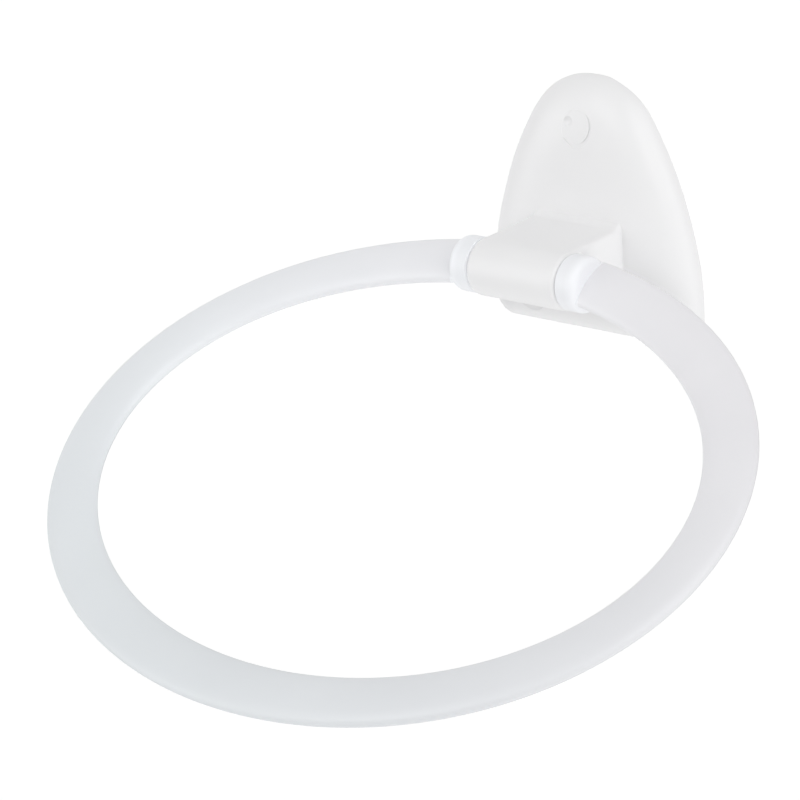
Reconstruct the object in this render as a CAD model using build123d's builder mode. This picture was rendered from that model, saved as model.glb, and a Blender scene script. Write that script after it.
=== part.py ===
from build123d import *
import os
from math import acos, cos, degrees, hypot, radians, sin, tan

# Oval towel holder: an arch-shaped wall bracket with a horizontal barrel, and an
# open oval hoop that turns on two short pins in the ends of that barrel.
# Millimetres. Wall plane Y = 0, object toward -Y, X along the barrel, Z up,
# origin on the wall plane at the height of the barrel's axis.

os.makedirs("parts", exist_ok=True)

# ---- wall plate
plate_half_width = 34.5      # widest half-width, at the wall
plate_bottom = -22.4         # lower edge
plate_top = 47.4             # crown of the arch
plate_corner = 6.0           # lower corner radius
plate_centre_z = 8.0         # centre that the dome closes on
# section of the plate from its edge inward, drawn for a half-width of 30: a full quarter
# curve from the edge up to the flat middle
section_half = 30.0
plate_thick = 9.0            # wall to the flat middle of the front
flat_scale = 0.5             # outline scale of the flat middle
fullness = 2.2               # 2 is a quarter ellipse, more is squarer
wall = 2.3                   # moulded wall thickness
steps = 20                   # sections of the plate's form

# ---- arm and barrel
pivot_out = 30.2             # barrel axis from the wall
barrel_r = 7.8
barrel_half = 14.8
arm_rise = 4.3               # degrees, upper face of the arm, toward the plate
arm_fall = 1.5               # degrees, lower face
arm_round = 1.3              # side edges of arm and barrel
arm_root = 8.4               # where the arm's top starts to curve up, from the wall
arm_root_round = 3.4
bore_r = 3.06
up, down = radians(arm_rise), radians(arm_fall)
upper_start = (-pivot_out - barrel_r * sin(up), barrel_r * cos(up))
upper_end = (-arm_root, upper_start[1] + tan(up) * (-arm_root - upper_start[0]))
lower_start = (-pivot_out - barrel_r * sin(down), -barrel_r * cos(down))
lower_end = (-3.0, lower_start[1] - tan(down) * (-3.0 - lower_start[0]))

# ---- screw recesses and caps
# x, z, plate face from the wall there, slope of that face up the plate,
# roof of the cap's hollow from the wall, recess floor from the wall
screw_spots = [(0.0, 34.2, 8.63, -0.127, 5.9, 3.0),
               (-18.0, -13.4, 8.41, 0.219, 4.8, 2.2),
               (18.0, -13.4, 8.41, 0.219, 4.8, 2.2)]
recess_r = 5.0
boss_r = 7.4
screw_hole_r = 2.3
cap_r = 4.97
cap_skirt_r = 4.1
cap_step = 0.35              # fingernail step, widest at the lower right of the rim
cap_step_shift = 1.0
cap_step_side = 131.0        # degrees, side of the rim that stays whole
dimple_at = (-3.0, 1.8)      # thumb dimple at the upper left
dimple_r = 1.6
dimple_deep = 0.45

# ---- hoop
ring_a = 100.0               # centre-line half-axes
ring_b = 71.06
ring_c = 69.13               # hoop centre from the barrel axis
ring_tilt = 34.6             # below level, as it stands
bar_half_w = 7.35            # flat-oval section
bar_half_t = 2.75
collar_in = 15.1
collar_out = 21.5
collar_r = 7.5
collar_round = 2.0
edge_break = 0.4
pin_r = 3.0
pin_tip = 9.6
bar_start_x = 19.5           # bar runs into the collar to here


def plate_section():
    """Evenly spaced points of the plate's section: distance from the wall, scale of the outline there."""
    fine = [(plate_thick * sin(radians(a / 10)) ** (2 / fullness),
             flat_scale + (1 - flat_scale) * cos(radians(a / 10)) ** (2 / fullness)) for a in range(900)]
    fine.append((plate_thick, flat_scale))
    run = [0.0]
    for (h0, k0), (h1, k1) in zip(fine, fine[1:]):
        run.append(run[-1] + hypot(h1 - h0, (k1 - k0) * section_half))
    points, j = [fine[0]], 0
    for i in range(1, steps):
        d = run[-1] * i / steps
        while run[j + 1] < d:
            j += 1
        f = (d - run[j]) / (run[j + 1] - run[j])
        points.append((fine[j][0] + f * (fine[j + 1][0] - fine[j][0]),
                       fine[j][1] + f * (fine[j + 1][1] - fine[j][1])))
    return points + [fine[-1]]


dome = plate_section()
hollow = [((plate_thick - wall) * sin(radians(a)), 0.445 + 0.485 * cos(radians(a))) for a in range(0, 91, 15)]


def outline(from_wall, scale):
    """Plate outline at a distance from the wall, as a sketch on that plane."""
    k = scale
    zc = plate_centre_z
    def p(x, z):
        return (x * k, (z - zc) * k)
    flat = plate_half_width - plate_corner
    side = [p(34.45, -8.0), p(33.75, -1.0), p(31.1, 10.6), p(26.0, 24.6),
            p(21.65, 33.0), p(13.5, 43.2), p(7.1, 46.4)]
    left = [(-x, z) for x, z in reversed(side)]
    low_r = p(plate_half_width, plate_bottom + plate_corner)
    low_l = (-low_r[0], low_r[1])
    apex = p(0, plate_top)
    plane = Plane(origin=(0, -from_wall, zc), x_dir=(1, 0, 0), z_dir=(0, -1, 0))
    with BuildSketch(plane) as sk:
        with BuildLine():
            Line(p(-flat, plate_bottom), p(flat, plate_bottom))
            RadiusArc(p(flat, plate_bottom), low_r, -plate_corner * k)
            Spline(low_r, *side, apex, tangents=((0, 1), (-1, 0)))
            Spline(apex, *left, low_l, tangents=((-1, 0), (0, -1)))
            RadiusArc(low_l, p(-flat, plate_bottom), -plate_corner * k)
        make_face()
    return sk


# ---------------------------------------------------------------- hollow at the back
with BuildPart() as hollow_core:
    loft([outline(h, k).sketch for h, k in hollow])
    # pocket running on into the arm
    with BuildSketch(Plane.XZ.offset(4.0)):
        Rectangle(24.0, 11.6)
    extrude(amount=22.0 - 4.0)
    # ribs and bosses are left standing
    with BuildSketch(Plane.XZ):
        Rectangle(2.2, 90.0)
        Rectangle(80.0, 2.2)
    extrude(amount=30.0, mode=Mode.SUBTRACT)
    with BuildSketch(Plane.XZ):
        with Locations(*[(x, z) for x, z, *_ in screw_spots]):
            Circle(boss_r)
    extrude(amount=12.0, mode=Mode.SUBTRACT)

# ---------------------------------------------------------------- outer form of the plate
with BuildPart() as plate_dome:
    loft([outline(h, k).sketch for h, k in dome])

# ---------------------------------------------------------------- wall bracket
with BuildPart() as wall_bracket:
    # arm and barrel in one profile: the arm's faces run off the barrel at a tangent, and its
    # upper face curves up into the plate
    with BuildSketch(Plane.YZ):
        with BuildLine():
            FilletPolyline(upper_start, upper_end, (-arm_root, upper_end[1] + 4.0), radius=arm_root_round)
            Polyline((-arm_root, upper_end[1] + 4.0), (-3.0, upper_end[1] + 4.0), lower_end, lower_start)
            ThreePointArc(lower_start, (-pivot_out - barrel_r, 0), upper_start)
        make_face()
    extrude(amount=barrel_half, both=True)
    fillet(wall_bracket.edges().filter_by(lambda e: abs(abs(e.center().X) - barrel_half) < 0.01
                                          and e.center().Y < -arm_root - 0.2), arm_round)
    # plate
    add(plate_dome.part)
    # hollow back
    add(hollow_core.part, mode=Mode.SUBTRACT)
    # bore for the hoop's pins
    with BuildSketch(Plane.YZ):
        with Locations((-pivot_out, 0)):
            Circle(bore_r)
    extrude(amount=barrel_half + 1, both=True, mode=Mode.SUBTRACT)
    # screw recesses and holes
    for x, z, *_, floor in screw_spots:
        with BuildSketch(Plane.XZ.offset(floor)):
            with Locations((x, z)):
                Circle(recess_r)
        extrude(amount=20.0 - floor, mode=Mode.SUBTRACT)
    with BuildSketch(Plane.XZ.offset(-1.0)):
        with Locations(*[(x, z) for x, z, *_ in screw_spots]):
            Circle(screw_hole_r)
    extrude(amount=12.0, mode=Mode.SUBTRACT)
wall_bracket.part.label = "wall_bracket"
export_step(wall_bracket.part, "parts/wall_bracket.step")

# ---------------------------------------------------------------- hoop
t = radians(ring_tilt)
ring_plane = Plane(origin=(0, -pivot_out, 0), x_dir=(1, 0, 0), z_dir=(0, sin(t), -cos(t)))
start = degrees(acos(bar_start_x / ring_a))
with BuildPart() as towel_ring:
    # collars and pins
    for s in (-1, 1):
        with BuildSketch(Plane(origin=(s * collar_in, -pivot_out, 0), x_dir=(0, 1, 0), z_dir=(s, 0, 0))):
            Circle(collar_r)
        extrude(amount=collar_out - collar_in)
    fillet(towel_ring.edges().filter_by(lambda e: abs(abs(e.center().X) - collar_out) < 0.01), collar_round)
    fillet(towel_ring.edges().filter_by(lambda e: abs(abs(e.center().X) - collar_in) < 0.01), edge_break)
    for s in (-1, 1):
        with BuildSketch(Plane(origin=(s * collar_in, -pivot_out, 0), x_dir=(0, 1, 0), z_dir=(-s, 0, 0))):
            Circle(pin_r)
        extrude(amount=collar_in - pin_tip)
    chamfer(towel_ring.edges().filter_by(lambda e: abs(abs(e.center().X) - pin_tip) < 0.01), 0.8)
    # flat-oval bar, run round its centre line from collar to collar
    with BuildLine(ring_plane) as centre_line:
        EllipticalCenterArc((0, ring_c), ring_a, ring_b, start_angle=-start, arc_size=180 + 2 * start)
    along = centre_line.line % 0
    with BuildSketch(Plane(origin=centre_line.line @ 0, x_dir=ring_plane.z_dir.cross(along), z_dir=along)):
        Ellipse(bar_half_w, bar_half_t)
    sweep(path=centre_line.line)
towel_ring.part.label = "towel_ring"
export_step(towel_ring.part, "parts/towel_ring.step")

# ---------------------------------------------------------------- screw caps
def cap(x, z, face, slope, hollow_roof, floor):
    """Push-in cover on a round skirt that stands on the recess floor; its face carries on the plate's."""
    face_plane = Plane(origin=(x, -face, z), x_dir=(1, 0, 0), z_dir=(0, -1, -slope))
    with BuildPart() as c:
        with BuildSketch(Plane.XZ.offset(floor)):
            with Locations((x, z)):
                Circle(cap_r)
        extrude(amount=14.0 - floor)
        with BuildSketch(Plane.XZ.offset(floor)):
            with Locations((x, z)):
                Circle(cap_skirt_r)
        extrude(amount=hollow_roof - floor, mode=Mode.SUBTRACT)
        add(plate_dome.part, mode=Mode.INTERSECT)
        # fingernail step: the rim drops away along the lower right
        side = radians(cap_step_side)
        with BuildSketch(face_plane.offset(-cap_step)):
            Circle(cap_r + 1.0)
            with Locations((cap_step_shift * cos(side), cap_step_shift * sin(side))):
                Circle(cap_r - 0.1, mode=Mode.SUBTRACT)
        extrude(amount=3.0, mode=Mode.SUBTRACT)
        # thumb dimple for lifting the cap out
        ball = (dimple_r ** 2 + dimple_deep ** 2) / (2 * dimple_deep)
        with Locations(face_plane.from_local_coords(Vector(*dimple_at, ball - dimple_deep))):
            Sphere(ball, mode=Mode.SUBTRACT)
    return c.part


screw_cap_top = cap(*screw_spots[0])
screw_cap_top.label = "screw_cap_top"
export_step(screw_cap_top, "parts/screw_cap_top.step")
screw_cap_left = cap(*screw_spots[1])
screw_cap_left.label = "screw_cap_left"
export_step(screw_cap_left, "parts/screw_cap_left.step")
screw_cap_right = cap(*screw_spots[2])
screw_cap_right.label = "screw_cap_right"
export_step(screw_cap_right, "parts/screw_cap_right.step")
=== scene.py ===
import math

import bpy
from mathutils import Matrix, Vector

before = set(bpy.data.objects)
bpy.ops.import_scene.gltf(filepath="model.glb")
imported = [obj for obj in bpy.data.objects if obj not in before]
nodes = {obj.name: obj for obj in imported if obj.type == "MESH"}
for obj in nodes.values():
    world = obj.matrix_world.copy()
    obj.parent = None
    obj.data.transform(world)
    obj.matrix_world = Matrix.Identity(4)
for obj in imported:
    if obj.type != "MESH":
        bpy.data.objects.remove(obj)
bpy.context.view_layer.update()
scene = bpy.context.scene


# ------------------------------------------------------------------ materials
def plastic(part, colour, tint, rough, grain):
    """White moulded plastic: a faint cloudiness in colour and gloss, and a fine surface grain.
    The hoop's is paler toward its thick ends by painted light, palest on the collars (whiter plastic, with painted
    light on their rounded ends), and cooler and a little lighter at the near left by a painted tint of light.
    The lower caps' has painted shade along the lower lip, where the rim shades them.
    Narrow gaps have a faint painted glow, standing in for light coming through the plastic into them."""
    m = bpy.data.materials.new(part + "_plastic")
    m.use_nodes = True
    t = m.node_tree
    t.nodes.clear()
    n, l = t.nodes, t.links
    out = n.new("ShaderNodeOutputMaterial")
    p = n.new("ShaderNodeBsdfPrincipled")
    co = n.new("ShaderNodeTexCoord")
    cloud = n.new("ShaderNodeTexNoise")
    cloud.inputs["Scale"].default_value = 34.0
    cloud.inputs["Detail"].default_value = 3.0
    cloud.inputs["Roughness"].default_value = 0.55
    ramp = n.new("ShaderNodeValToRGB")
    ramp.color_ramp.elements[0].position = 0.3
    ramp.color_ramp.elements[0].color = (*tint, 1)
    ramp.color_ramp.elements[1].position = 0.7
    ramp.color_ramp.elements[1].color = (*colour, 1)
    l.new(co.outputs["Object"], cloud.inputs["Vector"])
    l.new(cloud.outputs["Fac"], ramp.inputs["Fac"])
    def calc(op, a, b):
        m_ = n.new("ShaderNodeMath")
        m_.operation = op
        for i, v in enumerate((a, b)):
            if isinstance(v, float):
                m_.inputs[i].default_value = v
            else:
                l.new(v, m_.inputs[i])
        return m_.outputs[0]

    at = n.new("ShaderNodeSeparateXYZ")
    l.new(co.outputs["Object"], at.inputs["Vector"])
    x, y, z = at.outputs["X"], at.outputs["Y"], at.outputs["Z"]
    aside = calc("ABSOLUTE", x, 0.0)
    off = calc("ADD", y, 0.0302)
    from_axis = calc("ADD", calc("MULTIPLY", off, off), calc("MULTIPLY", z, z))
    up_cap = calc("SUBTRACT", z, 0.0342)
    from_cap = calc("ADD", calc("MULTIPLY", x, x), calc("MULTIPLY", up_cap, up_cap))
    low_left = calc("MULTIPLY", calc("LESS_THAN", x, 0.0), calc("LESS_THAN", up_cap, 0.0))
    painted_glow = None
    if part == "low_cap":
        dx = calc("SUBTRACT", aside, 0.018)
        dz = calc("ADD", z, 0.0134)
        # Painted shade: the lower caps' colour is darkened along the lower lip, where the rim shades them.
        lip_shade_ramp = n.new("ShaderNodeMapRange")
        lip_shade_ramp.inputs["From Min"].default_value = 0.0026
        lip_shade_ramp.inputs["From Max"].default_value = 0.0046
        lip_shade_ramp.inputs["To Min"].default_value = 1.0
        lip_shade_ramp.inputs["To Max"].default_value = 0.92
        l.new(calc("SQRT", calc("ADD", calc("MULTIPLY", dx, dx), calc("MULTIPLY", dz, dz)), 0.0), lip_shade_ramp.inputs["Value"])
        painted_lip_shade = calc("MAXIMUM", lip_shade_ramp.outputs["Result"], calc("GREATER_THAN", dz, -0.0018))
        shade = n.new("ShaderNodeVectorMath")
        shade.operation = "SCALE"
        l.new(ramp.outputs["Color"], shade.inputs[0])
        l.new(painted_lip_shade, shade.inputs["Scale"])
        l.new(shade.outputs["Vector"], p.inputs["Base Color"])
    elif part == "hoop":
        # Painted light: the hoop's colour is lighter toward the bracket and darker toward its near front, standing in
        # for light falling off across it.
        painted_light_falloff = n.new("ShaderNodeMapRange")
        painted_light_falloff.inputs["From Min"].default_value = -0.165
        painted_light_falloff.inputs["From Max"].default_value = -0.035
        painted_light_falloff.inputs["To Min"].default_value = 0.95
        painted_light_falloff.inputs["To Max"].default_value = 1.06
        l.new(y, painted_light_falloff.inputs["Value"])
        near_axis = calc("LESS_THAN", from_axis, 0.0077 ** 2)
        near_barrel = calc("LESS_THAN", aside, 0.02165)
        on_collar = calc("MULTIPLY", near_axis, near_barrel)
        # The collars are whiter plastic; the lift rising toward their rounded ends is painted light over the shade
        # the bar throws there.
        collar_end_painted_light = n.new("ShaderNodeMapRange")
        collar_end_painted_light.inputs["From Min"].default_value = 0.018
        collar_end_painted_light.inputs["From Max"].default_value = 0.0205
        collar_end_painted_light.inputs["To Min"].default_value = 0.05
        collar_end_painted_light.inputs["To Max"].default_value = 0.13
        l.new(aside, collar_end_painted_light.inputs["Value"])
        collar_tone_and_painted_light = calc("ADD", painted_light_falloff.outputs["Result"], calc("MULTIPLY", on_collar, collar_end_painted_light.outputs["Result"]))
        # Painted light: the hoop is slightly lighter at the left and darker at the right.
        collar_tone_and_painted_light = calc("MULTIPLY", collar_tone_and_painted_light, calc("SUBTRACT", 1.0, calc("MULTIPLY", x, 0.089)))
        # Painted tint of light: cooler at the near left, warmer toward the right.
        painted_tint_slope = calc("ADD", calc("ADD", calc("MULTIPLY", x, 3.45), calc("MULTIPLY", y, 6.2)), 1.04)
        painted_light_tint = n.new("ShaderNodeValToRGB")
        painted_light_tint.color_ramp.elements[0].color = (0.9521, 0.9836, 0.9925, 1)
        painted_light_tint.color_ramp.elements[1].color = (0.9856, 0.9692, 0.9779, 1)
        l.new(calc("SUBTRACT", painted_tint_slope, calc("MULTIPLY", on_collar, 0.28)), painted_light_tint.inputs["Fac"])
        painted_tinted_colour = n.new("ShaderNodeVectorMath")
        painted_tinted_colour.operation = "MULTIPLY"
        l.new(ramp.outputs["Color"], painted_tinted_colour.inputs[0])
        l.new(painted_light_tint.outputs["Color"], painted_tinted_colour.inputs[1])
        shade = n.new("ShaderNodeVectorMath")
        shade.operation = "SCALE"
        l.new(painted_tinted_colour.outputs["Vector"], shade.inputs[0])
        l.new(collar_tone_and_painted_light, shade.inputs["Scale"])
        l.new(shade.outputs["Vector"], p.inputs["Base Color"])
        # Painted light: a faint white glow in the gaps between the collars and the barrel ends, stronger at the left.
        in_gap = calc("MULTIPLY", near_axis, calc("LESS_THAN", aside, 0.01513))
        painted_glow = calc("MULTIPLY", in_gap, calc("ADD", calc("MULTIPLY", calc("LESS_THAN", x, 0.0), 0.06), 0.05))
    else:
        l.new(ramp.outputs["Color"], p.inputs["Base Color"])
    if part == "bracket":
        # Painted light: a faint glow at the barrel ends and inside the cap recesses, stronger at the lower left.
        at_end = calc("MULTIPLY", calc("LESS_THAN", from_axis, 0.0081 ** 2), calc("GREATER_THAN", aside, 0.01478))
        in_recess = calc("MULTIPLY", calc("LESS_THAN", from_cap, 0.00506 ** 2), calc("LESS_THAN", y, -0.005))
        painted_glow = calc("ADD", calc("MULTIPLY", at_end, 0.09), calc("MULTIPLY", in_recess, calc("ADD", calc("MULTIPLY", low_left, 0.06), 0.04)))
    elif part == "top_cap":
        # Painted light: a faint glow round the top cap's rim, stronger at the lower left.
        painted_glow = calc("MULTIPLY", calc("GREATER_THAN", from_cap, 0.00494 ** 2), calc("ADD", calc("MULTIPLY", low_left, 0.05), 0.03))
    # The emission below is painted light: a glow where these parts sit in shade.
    if painted_glow is not None:
        p.inputs["Emission Color"].default_value = (1, 1, 1, 1)
        l.new(painted_glow, p.inputs["Emission Strength"])
    gloss = n.new("ShaderNodeMapRange")
    gloss.inputs["From Min"].default_value = 0.3
    gloss.inputs["From Max"].default_value = 0.7
    gloss.inputs["To Min"].default_value = rough - 0.03
    gloss.inputs["To Max"].default_value = rough + 0.04
    l.new(cloud.outputs["Fac"], gloss.inputs["Value"])
    l.new(gloss.outputs["Result"], p.inputs["Roughness"])
    fine = n.new("ShaderNodeTexNoise")
    fine.inputs["Scale"].default_value = 1500.0
    fine.inputs["Detail"].default_value = 2.0
    l.new(co.outputs["Object"], fine.inputs["Vector"])
    bump = n.new("ShaderNodeBump")
    bump.inputs["Strength"].default_value = grain
    bump.inputs["Distance"].default_value = 0.00006
    l.new(fine.outputs["Fac"], bump.inputs["Height"])
    l.new(bump.outputs["Normal"], p.inputs["Normal"])
    p.inputs["IOR"].default_value = 1.5
    l.new(p.outputs["BSDF"], out.inputs["Surface"])
    return m


bracket_mat = plastic("bracket", (0.834, 0.833, 0.838), (0.814, 0.813, 0.819), 0.32, 0.12)
hoop_mat = plastic("hoop", (0.790, 0.797, 0.812), (0.771, 0.778, 0.794), 0.33, 0.12)
cap_mat = plastic("top_cap", (0.824, 0.8235, 0.829), (0.805, 0.8045, 0.811), 0.32, 0.12)
low_cap_mat = plastic("low_cap", (0.824, 0.8235, 0.829), (0.805, 0.8045, 0.811), 0.32, 0.12)


def dress(obj, mat):
    obj.data.materials.clear()
    obj.data.materials.append(mat)
    for f in obj.data.polygons:
        f.use_smooth = True


dress(nodes["wall_bracket"], bracket_mat)
dress(nodes["towel_ring"], hoop_mat)
dress(nodes["screw_cap_top"], cap_mat)
for k in ("screw_cap_left", "screw_cap_right"):
    dress(nodes[k], low_cap_mat)

# ------------------------------------------------------------------ floor
bpy.ops.mesh.primitive_plane_add(size=400.0, location=(0, 8.0, -0.35))
floor = bpy.context.object
floor.name = "floor"
fm = bpy.data.materials.new("floor")
fm.use_nodes = True
fb = fm.node_tree.nodes["Principled BSDF"]
fb.inputs["Base Color"].default_value = (0.95, 0.95, 0.95, 1)
fb.inputs["Roughness"].default_value = 0.9
fb.inputs["Emission Color"].default_value = (1, 1, 1, 1)
fb.inputs["Emission Strength"].default_value = 0.17
floor.data.materials.append(fm)
floor.visible_diffuse = False
floor.visible_glossy = False
floor.visible_shadow = False

# ------------------------------------------------------------------ light
# A white light tent: even light all round, and soft panels where it is brighter. The second
# number is how narrow the panel is.
EVEN = 0.439
PANELS = [
    ((0.985, -0.174, 0.0), 30, 0.461),       # right
    ((0.893, -0.157, 0.423), 30, 2.133),
    ((0.583, -0.694, 0.423), 30, 2.240),     # key, over the camera
    ((0.413, -0.492, 0.766), 30, 1.228),
    ((0.557, -0.321, 0.766), 30, 0.632),     # high right
    ((0.633, 0.112, 0.766), 30, 1.087),
    ((-0.310, -0.852, 0.423), 30, 2.371),    # front
    ((-0.766, -0.643, 0.0), 30, 2.483),      # front left
    ((-0.694, -0.583, 0.423), 30, 0.465),
    ((-1.0, 0.0, 0.0), 4, 0.196),            # left
    ((-1.0, 1.0, 0.0), 4, 0.361),            # behind
    ((0.0, 1.0, 1.0), 4, 0.361),
    ((0.0, 0.0, -1.0), 4, 0.560),            # thrown back up by the table
    ((1.0, 0.0, -1.0), 4, 0.985),
    ((-1.0, 0.0, -1.0), 4, 0.337),
]
world = bpy.data.worlds.new("studio")
scene.world = world
world.use_nodes = True
wn, wl = world.node_tree.nodes, world.node_tree.links
bg = wn["Background"]
bg.inputs["Color"].default_value = (1, 1, 1, 1)
toward = wn.new("ShaderNodeTexCoord").outputs["Generated"]


def sums(op, a, b):
    m = wn.new("ShaderNodeMath")
    m.operation = op
    for i, v in enumerate((a, b)):
        if isinstance(v, (int, float)):
            m.inputs[i].default_value = v
        else:
            wl.new(v, m.inputs[i])
    return m.outputs[0]


total = EVEN
for side, narrow, strength in PANELS:
    facing = wn.new("ShaderNodeVectorMath")
    facing.operation = "DOT_PRODUCT"
    wl.new(toward, facing.inputs[0])
    facing.inputs[1].default_value = Vector(side).normalized()
    lobe = sums("POWER", sums("MAXIMUM", facing.outputs["Value"], 0.0), narrow)
    total = sums("ADD", sums("MULTIPLY", lobe, strength), total)
wl.new(total, bg.inputs["Strength"])

# ------------------------------------------------------------------ camera, as the photo was taken
AZ, EL, ROLL = math.radians(41.97), math.radians(16.95), math.radians(-2.46)
F_PX, DIST, CX, CY = 4705.08, 1.22607, 527.50, 273.59
AXIS = Vector((0, -0.0302, 0))
back = Vector((math.sin(AZ) * math.cos(EL), -math.cos(AZ) * math.cos(EL), math.sin(EL)))
right0 = Vector((math.cos(AZ), math.sin(AZ), 0))
up0 = back.cross(right0)
right = right0 * math.cos(ROLL) + up0 * math.sin(ROLL)
up = -right0 * math.sin(ROLL) + up0 * math.cos(ROLL)
xc = (CX - 400) / F_PX * DIST
yc = -(CY - 400) / F_PX * DIST
eye = AXIS - (right * xc + up * yc - back * DIST)
cam_data = bpy.data.cameras.new("camera")
cam_data.sensor_width = 36.0
cam_data.lens = F_PX * 36.0 / 800.0
cam_data.clip_start, cam_data.clip_end = 0.05, 500.0
cam = bpy.data.objects.new("camera", cam_data)
scene.collection.objects.link(cam)
cam.matrix_world = Matrix((
    (right.x, up.x, back.x, eye.x),
    (right.y, up.y, back.y, eye.y),
    (right.z, up.z, back.z, eye.z),
    (0, 0, 0, 1),
))
scene.camera = cam
scene.view_settings.view_transform = "Standard"
scene.view_settings.look = "None"
